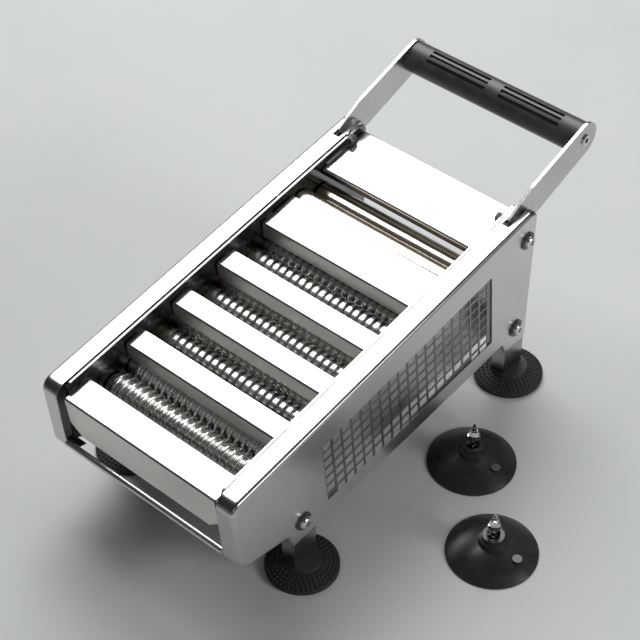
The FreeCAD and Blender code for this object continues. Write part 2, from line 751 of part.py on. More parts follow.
def round_roller(name, driven, along, above):
    count = int(size(BEAD_COUNT)) - (0 if driven else 1)
    edges = bead_edges(count)
    end = size(COVER_HALF)
    left = size(JOURNAL_LEFT if driven else JOURNAL_SHORT)
    right = size(JOURNAL_RIGHT)
    valley = dim("round_radius") - dim("round_wave")
    first = edges[0].Vertexes[0].Point
    last = edges[-1].Vertexes[-1].Point
    tail = [(last.x, valley), (end, valley), (end, dim("journal")), (right, dim("journal")),
            (right, 0), (-left, 0), (-left, dim("journal")), (-end, dim("journal")),
            (-end, valley), (first.x, valley)]
    sides = Part.makePolygon([Vector(x, radius, 0) for x, radius in tail]).Edges
    solid = Part.Face(Part.Wire(edges + sides)).revolve(Vector(0, 0, 0), Vector(1, 0, 0), 360)
    if driven:
        depth = dim("socket_depth")
        solid = solid.cut(rod_x(dim("socket"), -left - 1, -left + depth, 0, 0))
        wide = dim("blade_width") / 2
        tall = dim("socket") * 0.9
        solid = solid.cut(box_between((-left + depth - 1, -wide, -tall),
                                      (-left + depth + dim("blade_depth"), wide, tall)))
    solid.rotate(Vector(0, 0, 0), Vector(1, 0, 0), dim("deck_slope"))
    solid.translate(Vector(0, *axis_point(along, above)))
    return shape_node(name, solid)


for name, kind, place, along, above in roller_axes():
    if kind == "round":
        round_roller(name, place == "front", along, above)
    else:
        turned_roller(name, kind, place == "front", along, above)


# Gears in the left side cover
def involute(angle):
    return math.tan(angle) - angle


def gear_face(teeth, phase):
    module = dim("gear_module")
    pitch = module * teeth / 2
    pressure = math.radians(20)
    base = pitch * math.cos(pressure)
    tip = pitch + 0.9 * module
    root = pitch - 1.15 * module
    half_tooth = math.pi / (2 * teeth) - dim("gear_backlash") / pitch

    def half_angle(radius):
        if radius <= base:
            return half_tooth + involute(pressure)
        return half_tooth + involute(pressure) - involute(math.acos(base / radius))

    def spot(radius, angle):
        return Vector(0, radius * math.cos(angle), radius * math.sin(angle))

    radii = [root, base, (base + tip) / 2, tip]
    points = []
    for tooth in range(teeth):
        middle = phase + tooth * 2 * math.pi / teeth
        points += [spot(radius, middle - half_angle(radius)) for radius in radii]
        points += [spot(radius, middle + half_angle(radius)) for radius in reversed(radii)]
    return Part.Face(Part.makePolygon(points + points[:1]))


def gear(kind, place, along, above):
    teeth = int(round(dim(f"{kind}_pitch") / dim("gear_module")))
    towards = math.radians(-dim(f"{kind}_tilt"))
    phase = towards if place == "front" else towards + math.pi + math.pi / teeth
    solid = gear_face(teeth, phase).extrude(Vector(dim("gear_width"), 0, 0))
    solid = solid.cut(rod_x(dim("journal") + dim("seat_fit"), -1, dim("gear_width") + 1, 0, 0))
    solid.rotate(Vector(0, 0, 0), Vector(1, 0, 0), dim("deck_slope"))
    y, z = axis_point(along, above)
    solid.translate(Vector(-size(GEAR_IN) - dim("gear_width"), y, z))
    return solid


for name, kind, place, along, above in roller_axes():
    shape_node(f"{name}_gear", gear(kind, place, along, above))


# Bearing bushes of all rollers
def bush(side, y, z):
    inner = plate_inner()
    outer = plate_outer() + dim("bush_out")
    barrel = rod_x(dim("bush_radius"), inner, outer, y, z)
    flange = rod_x(dim("bush_flange"), inner - dim("bush_flange_run"), inner, y, z)
    bore = rod_x(dim("journal") + dim("bush_fit"), inner - 5, outer + 5, y, z)
    return mirrored(barrel.fuse(flange).cut(bore), side)


bushes = []
for name, kind, place, along, above in roller_axes():
    bushes += [bush(side, *axis_point(along, above)) for side in SIDES.values()]
shape_node("roller_bushes", Part.makeCompound(bushes))


# Combs that strip the strands from the cutters
def comb(pitch, count, finger, tip, shoulder, angle, along, above):
    half = plate_inner()
    reach = dim("comb_reach")
    points = [(-half, reach), (-half, shoulder)]
    for index in range(count):
        middle = (index - (count - 1) / 2) * pitch
        points += [(middle - finger / 2, shoulder), (middle - finger / 2, tip)]
        points += [(middle + finger / 2, tip), (middle + finger / 2, shoulder)]
    points += [(half, shoulder), (half, reach)]
    face = polygon_face([(x, radius, 0) for x, radius in points])
    solid = face.extrude(Vector(0, 0, dim("comb_sheet")))
    solid.translate(Vector(0, 0, -dim("comb_sheet") / 2))
    solid.rotate(Vector(0, 0, 0), Vector(1, 0, 0), angle + dim("deck_slope"))
    solid.translate(Vector(0, *axis_point(along, above)))
    return solid


def comb_for(kind, place, along, above):
    angle = -130 if place == "front" else -75
    play = dim("comb_play")
    if kind == "cutter":
        count = int(size(RING_COUNT)) - (1 if place == "front" else 2)
        return comb(dim("ring_pitch"), count, dim("comb_finger"), dim("cutter_root") + play,
                    dim("cutter_radius") + play, angle, along, above)
    count = int(size(BEAD_COUNT)) - (1 if place == "front" else 2)
    valley = dim("round_radius") - dim("round_wave")
    peak = dim("round_radius") + dim("round_wave")
    return comb(dim("bead_pitch"), count, dim("comb_pin"), valley + play, peak + play, angle, along, above)


combs = []
for name, kind, place, along, above in roller_axes():
    if kind != "smooth":
        combs.append(comb_for(kind, place, along, above))
shape_node("stripper_combs", Part.makeCompound(combs))


# Legs and rubber feet
def leg_boxes(name, side, sign):
    outer = "(dims.body_width / 2 - dims.sheet)"
    front = f"({sign} * dims.leg_spacing / 2 - dims.leg_width / 2)"
    tall = "dims.leg_top - dims.leg_bottom"
    near = f"{outer} - dims.leg_sheet" if side > 0 else f"-{outer}"
    far = f"{outer} - dims.leg_return" if side > 0 else f"-{outer}"
    web = primitive("Part::Box", f"{name}_web", at(near, front, "dims.leg_bottom"),
                    Length="dims.leg_sheet", Width="dims.leg_width", Height=tall)
    turn = primitive("Part::Box", f"{name}_turn", at(far, front, "dims.leg_bottom"),
                     Length="dims.leg_return", Width="dims.leg_sheet", Height=tall)
    feature = doc.addObject("Part::MultiFuse", f"{name}_blank")
    feature.Shapes = [web, turn]
    feature.Refine = True
    return feature


def leg_hole(name, sign):
    y = f"{sign} * dims.leg_spacing / 2 + dims.bolt_shift"
    spot = at("-dims.body_width", y, "dims.bolt_height", ALONG_X)
    return primitive("Part::Cylinder", f"{name}_hole", spot,
                     Radius="dims.bolt_hole", Height="dims.body_width * 2")


def foot_blank(name, side, sign):
    spot = (f"{side} * (dims.body_width / 2 - dims.foot_inset)", f"{sign} * dims.leg_spacing / 2")
    rim = primitive("Part::Cylinder", f"{name}_rim", at(*spot, "0"),
                    Radius="dims.foot_radius", Height="dims.foot_rim")
    dome = primitive("Part::Cone", f"{name}_dome", at(*spot, "dims.foot_rim"), Radius1="dims.foot_radius",
                     Radius2="dims.foot_boss", Height="dims.foot_dome - dims.foot_rim")
    boss = primitive("Part::Cone", f"{name}_boss", at(*spot, "dims.foot_dome"), Radius1="dims.foot_boss",
                     Radius2="dims.foot_boss - 1", Height="dims.foot_height - dims.foot_dome")
    feature = doc.addObject("Part::MultiFuse", f"{name}_blank")
    feature.Shapes = [rim, dome, boss]
    return feature


for place, sign in (("front", -1), ("rear", 1)):
    for name, side in SIDES.items():
        leg = f"{place}_{name}_leg"
        blank = leg_boxes(leg, side, sign)
        cut(leg, blank, leg_hole(leg, sign))
        foot = f"{place}_{name}_foot"
        cut(foot, foot_blank(foot, side, sign), blank)


# Side bolts, washers, spacers and nuts
def pan_bolt(y, z):
    face = dim("body_width") / 2 + dim("washer_sheet")
    end = plate_inner() - dim("nut_rise") - dim("bolt_tail")
    head = rod_x(dim("bolt_head"), face, face + dim("bolt_head_rise"), y, z)
    rim = [edge for edge in head.Edges if abs(edge.CenterOfMass.x - face - dim("bolt_head_rise")) < 1e-6]
    head = head.makeFillet(dim("bolt_head_rise") * 0.6, rim)
    long = dim("bolt_head") * 0.5
    thin = dim("bolt_head") * 0.12
    top = face + dim("bolt_head_rise")
    for wide, tall in ((long, thin), (thin, long)):
        head = head.cut(box_between((top - 1.5, y - wide, z - tall), (top + 1, y + wide, z + tall)))
    return head.fuse(rod_x(dim("bolt"), end, face, y, z)).removeSplitter()


def ring_x(outer, inner, start, end, y, z):
    return rod_x(outer, start, end, y, z).cut(rod_x(inner, start - 1, end + 1, y, z))


def hex_nut(y, z):
    start = plate_inner() - dim("nut_rise")
    radius = dim("nut_span") / math.sqrt(3)
    corners = []
    for step in range(6):
        turn = math.radians(60 * step + 30)
        corners.append((start, y + radius * math.cos(turn), z + radius * math.sin(turn)))
    body = polygon_face(corners).extrude(Vector(dim("nut_rise"), 0, 0))
    return body.cut(rod_x(dim("bolt") + dim("seat_fit"), start - 1, start + dim("nut_rise") + 1, y, z))


def pivot_sleeve(y, z):
    start = plate_outer()
    shoulder = size(ARM_IN) - dim("arm_play")
    body = rod_x(dim("spacer"), start, wall_inner(), y, z)
    body = body.fuse(rod_x(dim("sleeve_shoulder"), start, shoulder, y, z))
    return body.cut(rod_x(dim("bolt_hole"), start - 1, wall_inner() + 1, y, z)).removeSplitter()


def stop_bolt(y, z):
    end = plate_inner() - dim("nut_rise") - dim("bolt_tail")
    tip = size(ARM_OUT) + dim("slot_outer")
    collar = rod_x(dim("bolt") + 2, plate_outer(), plate_outer() + dim("sheet"), y, z)
    return rod_x(dim("bolt"), end, tip, y, z).fuse(collar).removeSplitter()


def both_sides(shapes):
    return Part.makeCompound([mirrored(shape, side) for side in SIDES.values() for shape in shapes])


half_width = dim("body_width") / 2
bolt_points = leg_bolt_points() + [pivot_point()]
shape_node("side_bolts", both_sides([pan_bolt(y, z) for y, z in bolt_points]))
shape_node("side_washers", both_sides([
    ring_x(dim("washer"), dim("bolt_hole"), half_width, half_width + dim("washer_sheet"), y, z)
    for y, z in bolt_points]))
shape_node("leg_spacers", both_sides([
    ring_x(dim("spacer"), dim("bolt_hole"), plate_outer(), wall_inner() - dim("leg_sheet"), y, z)
    for y, z in leg_bolt_points()]))
shape_node("lock_nuts", both_sides([hex_nut(y, z) for y, z in bolt_points + [stop_point()]]))
shape_node("pivot_sleeves", both_sides([pivot_sleeve(*pivot_point())]))
shape_node("stop_bolts", both_sides([stop_bolt(*stop_point())]))


# Carrying handle
def polar(radius, degrees):
    angle = math.radians(degrees)
    return Vector(0, radius * math.cos(angle), radius * math.sin(angle))


def arc_about_pivot(radius, start, end):
    return Part.Arc(polar(radius, start), polar(radius, (start + end) / 2), polar(radius, end)).toShape()


def arm_outline(stop_angle, outer):
    grip = Vector(0, dim("grip_run"), dim("grip_rise"))
    end = dim("arm_end")
    high = grip + polar(end, 90 + dim("arm_top_lean"))
    low = grip + polar(end, -90 + dim("arm_low_lean"))
    far = grip + polar(end, (dim("arm_top_lean") + dim("arm_low_lean")) / 2)
    kink_y = dim("arm_kink")
    kink = Vector(0, kink_y, high.z - (high.y - kink_y) * math.tan(math.radians(dim("arm_top_lean"))))
    front = -dim("arm_front")
    neck = Vector(0, front, kink.z - (kink_y - front) * math.tan(math.radians(dim("arm_neck_lean"))))
    rim_start = Vector(0, front, math.sqrt(outer ** 2 - front ** 2))
    first = math.degrees(math.atan2(rim_start.z, rim_start.y))
    last = stop_angle + dim("fold_angle") + 16
    boss = dim("arm_boss")
    lean = dim("arm_low_lean")
    offset = low.z * math.cos(math.radians(lean)) - low.y * math.sin(math.radians(lean))
    join = 360 + lean + math.degrees(math.asin(offset / boss))
    return [
        Part.LineSegment(high, kink).toShape(),
        Part.LineSegment(kink, neck).toShape(),
        Part.LineSegment(neck, rim_start).toShape(),
        arc_about_pivot(outer, first, last),
        Part.LineSegment(polar(outer, last), polar(boss, last)).toShape(),
        arc_about_pivot(boss, last, join),
        Part.LineSegment(polar(boss, join), low).toShape(),
        Part.Arc(low, far, high).toShape(),
    ]


def stop_slot(radius, half, start, end):
    edges = [
        arc_about_pivot(radius + half, start, end),
        Part.Arc(polar(radius + half, end), polar(radius, end) + polar(half, end + 90),
                 polar(radius - half, end)).toShape(),
        arc_about_pivot(radius - half, end, start),
        Part.Arc(polar(radius - half, start), polar(radius, start) + polar(half, start - 90),
                 polar(radius + half, start)).toShape(),
    ]
    return Part.Face(Part.Wire(edges)).extrude(Vector(dim("arm_sheet") + 2, 0, 0))


def handle_arm(side):
    stop_angle = math.degrees(math.atan2(dim("stop_rise"), -dim("stop_run")))
    stop_radius = math.hypot(dim("stop_run"), dim("stop_rise"))
    half = dim("bolt") + dim("stop_play")
    outline = arm_outline(stop_angle, stop_radius + half + dim("arm_rim"))
    arm = Part.Face(Part.Wire(outline)).extrude(Vector(dim("arm_sheet"), 0, 0))
    slot = stop_slot(stop_radius, half, stop_angle, stop_angle + dim("fold_angle"))
    slot.translate(Vector(-1, 0, 0))
    arm = arm.cut(slot)
    arm = arm.cut(rod_x(dim("spacer") + dim("bush_fit"), -1, dim("arm_sheet") + 1, 0, 0))
    grip = (dim("grip_run"), dim("grip_rise"))
    arm = arm.cut(rod_x(dim("rod") + dim("seat_fit"), -1, dim("arm_sheet") + 1, *grip))
    arm.translate(Vector(size(ARM_IN), *pivot_point()))
    return mirrored(arm, side)


for name, side in SIDES.items():
    shape_node(f"{name}_handle_arm", handle_arm(side))

GRIP_Y = f"({PIVOT_Y} + dims.grip_run)"
GRIP_Z = f"({PIVOT_Z} + dims.grip_rise)"


def grip_groove(name, side, step):
    turn = f"rotation(vector(1; 0; 0); dims.groove_lean + {step} * dims.groove_step)"
    start = "dims.groove_gap / 2" if side > 0 else "-dims.groove_gap / 2 - dims.groove_run"
    spot = at(start, "-dims.groove_width / 2", "dims.grip_radius - dims.groove_depth")
    return primitive("Part::Box", name, f"{at('0', GRIP_Y, GRIP_Z, turn)} * {spot}",
                     Length="dims.groove_run", Width="dims.groove_width", Height="dims.groove_depth + 2")


def along_grip(name, radius, start, length):
    spot = at(start, GRIP_Y, GRIP_Z, ALONG_X)
    return primitive("Part::Cylinder", name, spot, Radius=radius, Height=length)


def handle_grip():
    bar = along_grip("grip_bar", "dims.grip_radius", f"-{ARM_IN}", f"2 * {ARM_IN}")
    tools = [along_grip("grip_bore", "dims.rod + dims.seat_fit", f"-{ARM_IN} - 1", f"2 * {ARM_IN} + 2")]
    for name, side in SIDES.items():
        tools += [grip_groove(f"groove_{name}_{step + 1}", side, step) for step in (-1, 0, 1)]
    hollow = doc.addObject("Part::MultiFuse", "grip_tools")
    hollow.Shapes = tools
    cut("handle_grip", bar, hollow)


def grip_rod():
    end = f"({ARM_OUT} + dims.rod_head_run)"
    rod = along_grip("rod_bar", "dims.rod", f"-{end}", f"2 * {end}")
    heads = [along_grip("rod_head_left", "dims.rod_head", f"-{end}", "dims.rod_head_run"),
             along_grip("rod_head_right", "dims.rod_head", ARM_OUT, "dims.rod_head_run")]
    run = "dims.rod_bore_run + 1"
    bores = [along_grip("rod_bore_left", "dims.rod_bore", f"-{end} - 1", run),
             along_grip("rod_bore_right", "dims.rod_bore", f"{end} - dims.rod_bore_run", run)]
    solid = doc.addObject("Part::MultiFuse", "rod_solid")
    solid.Shapes = [rod] + heads
    hollow = doc.addObject("Part::MultiFuse", "rod_bores")
    hollow.Shapes = bores
    cut("grip_rod", solid, hollow)


handle_grip()
grip_rod()


# Loose suction cups with their clear plugs
def suction_cup(x, y):
    radius = dim("cup_radius")
    neck = dim("cup_neck")
    rise = dim("cup_rise")
    tall = dim("cup_height")
    seat = rise - 1
    start = Vector(radius, 0, 1.4)
    top = Vector(neck, 0, rise)
    crown = Vector((radius + neck) / 2, 0, rise * 0.66)
    dome = Part.Arc(start, crown, top).toShape()
    hollow_edge = radius - 3
    lower = Part.Arc(Vector(0, 0, dim("cup_hollow")), Vector(hollow_edge * 0.6, 0, dim("cup_hollow") * 0.7),
                     Vector(hollow_edge, 0, 0)).toShape()
    stem = dim("plug_stem") + dim("seat_fit")
    upper = [top, Vector(neck - 0.6, 0, rise + 5), Vector(neck - 3, 0, rise + 6.2)]
    upper += [Vector(neck - 3, 0, tall), Vector(stem, 0, tall), Vector(stem, 0, seat)]
    upper += [Vector(0, 0, seat), Vector(0, 0, dim("cup_hollow"))]
    rim = [Vector(hollow_edge, 0, 0), Vector(radius, 0, 0), start]
    edges = Part.makePolygon(rim).Edges + [dome] + Part.makePolygon(upper).Edges + [lower]
    solid = Part.Face(Part.Wire(edges)).revolve(Vector(0, 0, 0), Vector(0, 0, 1), 360)
    nub = Part.makeCylinder(dim("cup_nub"), rise * 0.62, Vector(radius * 0.64, 0, 3))
    solid = solid.fuse(nub).removeSplitter()
    solid.translate(Vector(x, y, 0))
    return solid


def cup_plug(x, y):
    stem = dim("plug_stem")
    head = dim("plug_head")
    base = dim("cup_rise") - 1
    tall = dim("cup_height")
    top = dim("plug_height")
    points = [(0, base), (stem, base), (stem, tall), (head, tall), (head, tall + 2.4), (stem, tall + 3.4),
              (stem, tall + 8), (head, tall + 10), (stem + 0.6, tall + 17), (stem + 0.6, tall + 18.5),
              (stem - 1.6, top), (0, top)]
    solid = turned_profile(points)
    solid.translate(Vector(x, y, 0))
    return solid


for index, place in ((1, "one"), (2, "two")):
    spot = (dim("body_width") / 2 + dim(f"cup_{place}_x"), dim(f"cup_{place}_y"))
    shape_node(f"suction_cup_{index}", suction_cup(*spot))
    shape_node(f"cup_plug_{index}", cup_plug(*spot))


# Check every object, then write one file per node
def check_and_write():
    doc.recompute()
    for feature in doc.Objects:
        if {"Invalid", "Error"} & set(feature.State):
            raise RuntimeError(f"{feature.Label} did not build")
    os.makedirs("parts", exist_ok=True)
    for label, feature in nodes.items():
        if feature.Shape.isNull() or not feature.Shape.isValid():
            raise RuntimeError(f"{label} has no valid shape")
        feature.Shape.exportStep(f"parts/{label}.step")


check_and_write()
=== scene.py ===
import json
import math

import bmesh
import bpy
from mathutils import Euler, Matrix, Vector


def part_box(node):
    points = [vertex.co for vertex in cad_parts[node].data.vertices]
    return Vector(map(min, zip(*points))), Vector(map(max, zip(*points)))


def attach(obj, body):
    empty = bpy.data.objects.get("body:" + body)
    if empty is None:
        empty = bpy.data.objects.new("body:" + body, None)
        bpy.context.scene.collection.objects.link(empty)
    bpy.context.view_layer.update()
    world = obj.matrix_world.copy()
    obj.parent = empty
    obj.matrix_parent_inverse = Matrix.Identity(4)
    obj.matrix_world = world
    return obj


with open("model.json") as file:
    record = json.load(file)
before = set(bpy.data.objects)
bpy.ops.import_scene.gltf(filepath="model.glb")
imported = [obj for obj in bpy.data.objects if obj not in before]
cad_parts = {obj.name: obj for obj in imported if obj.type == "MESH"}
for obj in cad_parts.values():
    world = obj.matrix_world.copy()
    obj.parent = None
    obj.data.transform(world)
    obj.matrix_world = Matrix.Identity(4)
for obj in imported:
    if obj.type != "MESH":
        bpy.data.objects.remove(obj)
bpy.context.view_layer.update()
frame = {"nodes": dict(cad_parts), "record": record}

# Camera fitted to the photo: place in metres, angles in degrees, lens and sensor in millimetres
CAMERA_PLACE = (0.67892, -0.80574, 1.14959)
CAMERA_PITCH = 44.626
CAMERA_AZIMUTH = 40.297
CAMERA_ROLL = 0.096
CAMERA_LENS = 101.02
SENSOR = 36.0

# Lights: name, direction from the object, distance, width, height, power, colour
LIGHT_AIM = Vector((0.0, 0.0, 0.12))
LIGHTS = [
    ("top_softbox", (-0.48, 0.43, 0.79), 2.5, 2.2, 1.8, 70.0, (0.99, 0.995, 1.0)),
    ("right_fill", (0.90, 0.20, 0.42), 2.4, 1.0, 0.8, 24.0, (0.99, 0.99, 1.0)),
    ("front_strip", (0.75, -0.85, 0.30), 2.2, 1.4, 0.5, 2.5, (0.97, 0.98, 1.0)),
]
WORLD_COLOUR = (0.80, 0.82, 0.84, 1.0)
WORLD_STRENGTH = 0.08
FLOOR_SIZE = 12

# Rubber nubs on the feet, in metres
NUB_RINGS = (0.0190, 0.0224, 0.0258, 0.0288)
NUB_RADIUS = 0.0014
NUB_SPACING = 0.0038

# Slope of the feet that the nubs sit on: radius and height in metres
FOOT_RIM = (0.0305, 0.004)
FOOT_SHOULDER = (0.017, 0.009)

# Corners that have a foot
CORNERS = ("front_left", "front_right", "rear_left", "rear_right")

# Stretch of a pattern: small along the grain lines
EVEN = (1.0, 1.0, 1.0)
ALONG_X = (0.02, 1.0, 1.0)
ALONG_Y = (1.0, 0.02, 1.0)
AROUND = (1.0, 0.05, 0.05)

# Scales of the noise patterns, and the middle stretch of a pattern that is used
LINE_SCALE = 900.0
PATCH_SCALE = 26.0
DUST_SCALE = 55.0
HAZE_SCALE = 300.0
CLOUD_SCALE = 3.5
SPECK_SCALE = 260.0
PATTERN_MIDDLE = (0.3, 0.7)

# Relief of the surfaces, in metres
LINE_HEIGHT = 0.0004
RUBBER_HEIGHT = 0.0005
SPECK_HEIGHT = 0.001

# Grain lines make a metal this much smoother and rougher
LINE_ROUGHNESS = 0.03

# Dust makes rubber darker and lighter than its shade
DUST_SHARES = (0.7, 1.5)

# Clear plastic
PLASTIC_COLOUR = (0.95, 0.97, 0.98, 1.0)
PLASTIC_INDEX = 1.49

# Folded sheet: upward share of the normal where uprights, bends and tops meet, which also sets where
# painted light and painted bend shade change
UPRIGHT_TO_BEND = (0.2, 0.3)
BEND_TO_TOP = (0.88, 0.97)


# Shader building blocks
def new_material(name):
    material = bpy.data.materials.new(name)
    material.use_nodes = True
    tree = material.node_tree
    shader = tree.nodes["Principled BSDF"]
    return material, tree, shader


def add(tree, kind, **inputs):
    made = tree.nodes.new(kind)
    for key, value in inputs.items():
        made.inputs[key.replace("_", " ")].default_value = value
    return made


def object_space(tree, stretch):
    place = tree.nodes.new("ShaderNodeTexCoord")
    mapping = add(tree, "ShaderNodeMapping", Scale=stretch)
    tree.links.new(place.outputs["Object"], mapping.inputs["Vector"])
    return mapping.outputs["Vector"]


def noise(tree, vector, scale, detail=4.0, roughness=0.55):
    made = add(tree, "ShaderNodeTexNoise", Scale=scale, Detail=detail, Roughness=roughness)
    tree.links.new(vector, made.inputs["Vector"])
    return made.outputs["Fac"]


def spread(tree, value, low, high, start=PATTERN_MIDDLE[0], stop=PATTERN_MIDDLE[1]):
    """Maps the middle of a 0 to 1 pattern onto a range of values."""
    made = add(tree, "ShaderNodeMapRange", From_Min=start, From_Max=stop, To_Min=low, To_Max=high)
    tree.links.new(value, made.inputs["Value"])
    return made.outputs["Result"]


def tint(tree, value, dark, light):
    ramp = tree.nodes.new("ShaderNodeValToRGB")
    for stop, place, colour in zip(ramp.color_ramp.elements, PATTERN_MIDDLE, (dark, light)):
        stop.position = place
        stop.color = (*colour, 1.0)
    tree.links.new(value, ramp.inputs["Fac"])
    return ramp.outputs["Color"]


def blend(tree, kind, share, first, second):
    """Goes from the first colour or value to the second as the share goes from 0 to 1."""
    made = tree.nodes.new("ShaderNodeMix")
    made.data_type = kind
    sockets = [socket for socket in made.inputs if socket.enabled]
    for value, socket in zip((share, first, second), sockets):
        tree.links.new(value, socket)
    return next(socket for socket in made.outputs if socket.enabled)


def bump(tree, shader, value, strength, distance):
    made = add(tree, "ShaderNodeBump", Strength=strength, Distance=distance)
    tree.links.new(value, made.inputs["Height"])
    tree.links.new(made.outputs["Normal"], shader.inputs["Normal"])


# Materials
def grey(level):
    return (level, level, level)


def bare_metal(name, grain):
    """Metal without colour or roughness yet, with its pattern of grain lines and its patches."""
    material, tree, shader = new_material(name)
    shader.inputs["Metallic"].default_value = 1.0
    lines = noise(tree, object_space(tree, grain), LINE_SCALE)
    patches = noise(tree, object_space(tree, EVEN), PATCH_SCALE, 5.0)
    return material, tree, shader, lines, patches


def brushed_metal(name, dark, light, smooth, rough, grain, depth=0.05):
    """Metal with fine grain lines along the axis where grain is small."""
    material, tree, shader, lines, patches = bare_metal(name, grain)
    tree.links.new(tint(tree, patches, dark, light), shader.inputs["Base Color"])
    mixed = tree.nodes.new("ShaderNodeMath")
    mixed.operation = "ADD"
    tree.links.new(spread(tree, lines, -LINE_ROUGHNESS, LINE_ROUGHNESS), mixed.inputs[0])
    tree.links.new(spread(tree, patches, smooth, rough), mixed.inputs[1])
    tree.links.new(mixed.outputs["Value"], shader.inputs["Roughness"])
    bump(tree, shader, lines, depth, LINE_HEIGHT)
    return material


def folded_metal(name, top, upright, grain):
    """Bright sheet with duller turned-down faces, coloured by which way each face points: painted light
    gives tops and turned-down faces their own tints of one metal, and painted shade darkens the bends.
    """
    material, tree, shader, lines, patches = bare_metal(name, grain)
    facing = tree.nodes.new("ShaderNodeNewGeometry")
    parts = tree.nodes.new("ShaderNodeSeparateXYZ")
    tree.links.new(facing.outputs["True Normal"], parts.inputs["Vector"])
    level = spread(tree, parts.outputs["Z"], 0.0, 1.0, *BEND_TO_TOP)
    painted_bend_shade = spread(tree, parts.outputs["Z"], 0.0, 1.0, *UPRIGHT_TO_BEND)
    # Painted shade on the bends and painted light on tops and uprights: the colour follows the upward
    # share of the face's normal
    lower = blend(tree, "RGBA", painted_bend_shade, tint(tree, patches, *upright["tints"]),
                  tint(tree, patches, *PAINTED_BEND_SHADE_TINTS))
    colour = blend(tree, "RGBA", level, lower, tint(tree, patches, *top["tints"]))
    tree.links.new(colour, shader.inputs["Base Color"])
    rough = blend(tree, "FLOAT", level, spread(tree, patches, *upright["rough"]),
                  spread(tree, patches, *top["rough"]))
    tree.links.new(rough, shader.inputs["Roughness"])
    bump(tree, shader, lines, 0.02, LINE_HEIGHT)
    return material


def black_rubber(name, shade, smooth, rough, grain_scale, depth):
    material, tree, shader = new_material(name)
    grain = noise(tree, object_space(tree, EVEN), grain_scale, 6.0)
    dust = noise(tree, object_space(tree, EVEN), DUST_SCALE, 6.0, 0.7)
    dark, light = (grey(shade * share) for share in DUST_SHARES)
    tree.links.new(tint(tree, dust, dark, light), shader.inputs["Base Color"])
    tree.links.new(spread(tree, dust, smooth, rough), shader.inputs["Roughness"])
    bump(tree, shader, grain, depth, RUBBER_HEIGHT)
    return material


def clear_plastic(name):
    material, tree, shader = new_material(name)
    shader.inputs["Base Color"].default_value = PLASTIC_COLOUR
    shader.inputs["Transmission Weight"].default_value = 1.0
    shader.inputs["IOR"].default_value = PLASTIC_INDEX
    haze = noise(tree, object_space(tree, EVEN), HAZE_SCALE)
    tree.links.new(spread(tree, haze, 0.02, 0.12), shader.inputs["Roughness"])
    return material


def floor_material(name):
    material, tree, shader = new_material(name)
    space = object_space(tree, EVEN)
    clouds = noise(tree, space, CLOUD_SCALE, 8.0, 0.6)
    specks = noise(tree, space, SPECK_SCALE, 3.0)
    shades = tint(tree, clouds, (0.53, 0.545, 0.55), (0.59, 0.60, 0.60))
    tree.links.new(shades, shader.inputs["Base Color"])
    tree.links.new(spread(tree, clouds, 0.50, 0.62), shader.inputs["Roughness"])
    bump(tree, shader, specks, 0.06, SPECK_HEIGHT)
    return material


# Faces of the folded sheets: tints by which way a face points, which are painted light, and the painted
# shade tints of their bends
PAINTED_BEND_SHADE_TINTS = (grey(0.24), grey(0.30))
COVER_TOP = {"tints": ((0.66, 0.66, 0.67), (0.74, 0.74, 0.74)), "rough": (0.12, 0.18)}
COVER_UPRIGHT = {"tints": ((0.84, 0.82, 0.78), (0.92, 0.90, 0.86)), "rough": (0.46, 0.56)}
BAND_TOP = {"tints": ((0.58, 0.58, 0.59), (0.66, 0.66, 0.66)), "rough": (0.18, 0.26)}
WALL = {"tints": ((0.66, 0.66, 0.655), (0.71, 0.71, 0.705)), "rough": (0.28, 0.31)}

# Each look's material
materials = {
    "side": folded_metal("side_steel", BAND_TOP, WALL, ALONG_Y),
    "deck": folded_metal("deck_steel", COVER_TOP, COVER_UPRIGHT, ALONG_X),
    "leg": brushed_metal("leg_steel", grey(0.36), grey(0.44), 0.20, 0.28, AROUND),
    # Painted shade: the combs, cross bars and tie rods inside are near black so the gaps around the
    # rollers read as shadow; the washers use the same dark steel
    "dark": brushed_metal("dark_steel_and_painted_shade", grey(0.10), grey(0.17), 0.30, 0.42, ALONG_X),
    "plate": brushed_metal("plate_steel", grey(0.16), grey(0.26), 0.14, 0.22, ALONG_Y),
    # Painted light: the right inner plate behind the grille is tinted far lighter than the left inner
    # plate so the hollow looks lit
    "painted_lit_backing": brushed_metal("backing_steel_painted_light", grey(0.80), grey(0.90), 0.34, 0.44, ALONG_Y),
    "grille": brushed_metal("grille_steel", grey(0.24), grey(0.32), 0.26, 0.34, ALONG_Y),
    "roller": brushed_metal("roller_steel", (0.72, 0.71, 0.69), (0.82, 0.81, 0.79), 0.22, 0.30, AROUND),
    "warm": brushed_metal("warm_steel", (0.72, 0.65, 0.54), (0.80, 0.74, 0.64), 0.12, 0.20, AROUND, 0.03),
    "arm": brushed_metal("arm_steel", (0.56, 0.56, 0.555), (0.64, 0.64, 0.635), 0.22, 0.30, ALONG_Y),
    "bolt": brushed_metal("bolt_steel", (0.70, 0.70, 0.69), (0.80, 0.80, 0.79), 0.16, 0.24, AROUND),
    "gear": brushed_metal("gear_steel", (0.34, 0.34, 0.35), grey(0.44), 0.3, 0.42, AROUND),
    "brass": brushed_metal("bush_brass", (0.60, 0.40, 0.15), (0.74, 0.53, 0.24), 0.2, 0.32, AROUND),
    "foot": black_rubber("foot_rubber", 0.016, 0.5, 0.66, 900.0, 0.2),
    "grip": black_rubber("grip_plastic", 0.060, 0.34, 0.42, 1400.0, 0.05),
    "cup": black_rubber("cup_rubber", 0.022, 0.24, 0.34, 700.0, 0.04),
    "plug": clear_plastic("plug_clear"),
}

